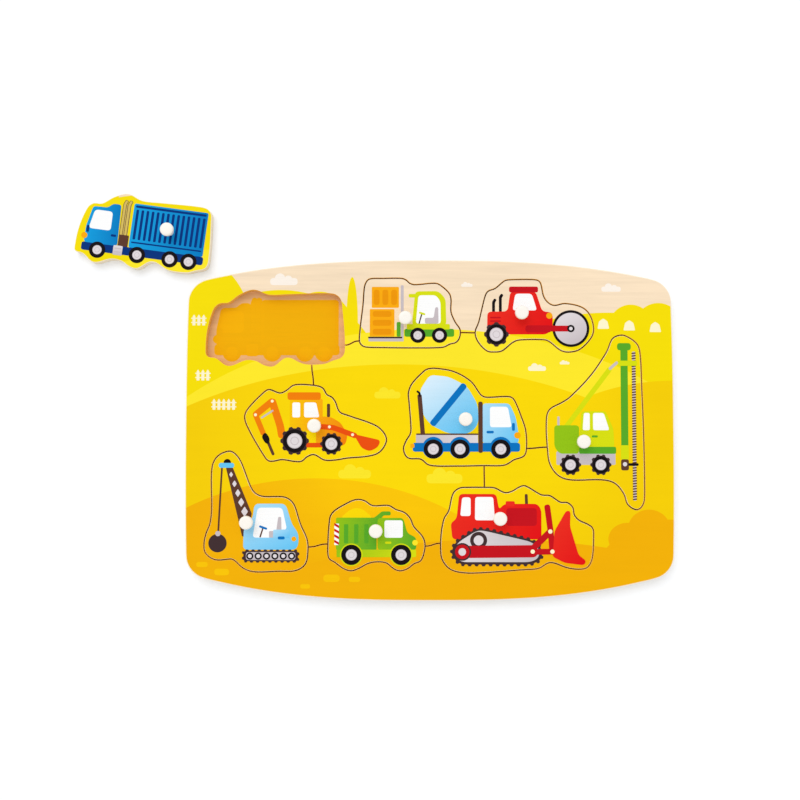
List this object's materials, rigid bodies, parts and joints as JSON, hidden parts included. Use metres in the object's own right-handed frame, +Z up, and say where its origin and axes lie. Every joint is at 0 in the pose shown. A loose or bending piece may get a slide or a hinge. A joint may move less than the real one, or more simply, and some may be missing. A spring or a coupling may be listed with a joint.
{
  "type": "peg puzzle",
  "caption": "Flat wooden toy puzzle: a printed board with vehicle-shaped pieces that lift out of sawn pockets by white pegs.",
  "frame": {"origin": "centre of the board's underside", "axes": "+X along the board to the right as it is looked at, +Y to its rear edge, +Z up through the pegs"},
  "size_m": [0.3709, 0.2512, 0.0175],
  "materials": {
    "board_print": "plywood with a smooth yellow print and bare wood along the rear edge",
    "backing_wood": "thin plywood, sanded, with orange printed pocket floors",
    "blue_print": "plywood with a smooth print",
    "lime_print": "plywood with a smooth print",
    "red_print": "plywood with a smooth print",
    "orange_print": "plywood with a smooth print",
    "sky_print": "plywood with a smooth print",
    "green_print": "plywood with a smooth print",
    "white_paint": "turned wood with white satin paint"
  },
  "bodies": {
    "board": {"top_board": "board_print", "backing_board": "backing_wood"},
    "truck": {"truck_piece": "blue_print", "truck_peg": "white_paint"},
    "forklift": {"forklift_piece": "lime_print", "forklift_peg": "white_paint"},
    "roller": {"roller_piece": "red_print", "roller_peg": "white_paint"},
    "backhoe": {"backhoe_piece": "orange_print", "backhoe_peg": "white_paint"},
    "mixer": {"mixer_piece": "sky_print", "mixer_peg": "white_paint"},
    "drill_rig": {"drill_rig_piece": "green_print", "drill_rig_peg": "white_paint"},
    "crane": {"crane_piece": "sky_print", "crane_peg": "white_paint"},
    "tipper": {"tipper_piece": "green_print", "tipper_peg": "white_paint"},
    "bulldozer": {"bulldozer_piece": "red_print", "bulldozer_peg": "white_paint"}
  },
  "joints": [
    {"name": "truck_lift", "type": "slide", "parent": "board", "child": "truck", "axis": [0, 0, 1], "range_m": [0, 0.03]},
    {"name": "forklift_lift", "type": "slide", "parent": "board", "child": "forklift", "axis": [0, 0, 1], "range_m": [0, 0.03]},
    {"name": "roller_lift", "type": "slide", "parent": "board", "child": "roller", "axis": [0, 0, 1], "range_m": [0, 0.03]},
    {"name": "backhoe_lift", "type": "slide", "parent": "board", "child": "backhoe", "axis": [0, 0, 1], "range_m": [0, 0.03]},
    {"name": "mixer_lift", "type": "slide", "parent": "board", "child": "mixer", "axis": [0, 0, 1], "range_m": [0, 0.03]},
    {"name": "drill_rig_lift", "type": "slide", "parent": "board", "child": "drill_rig", "axis": [0, 0, 1], "range_m": [0, 0.03]},
    {"name": "crane_lift", "type": "slide", "parent": "board", "child": "crane", "axis": [0, 0, 1], "range_m": [0, 0.03]},
    {"name": "tipper_lift", "type": "slide", "parent": "board", "child": "tipper", "axis": [0, 0, 1], "range_m": [0, 0.03]},
    {"name": "bulldozer_lift", "type": "slide", "parent": "board", "child": "bulldozer", "axis": [0, 0, 1], "range_m": [0, 0.03]}
  ]
}
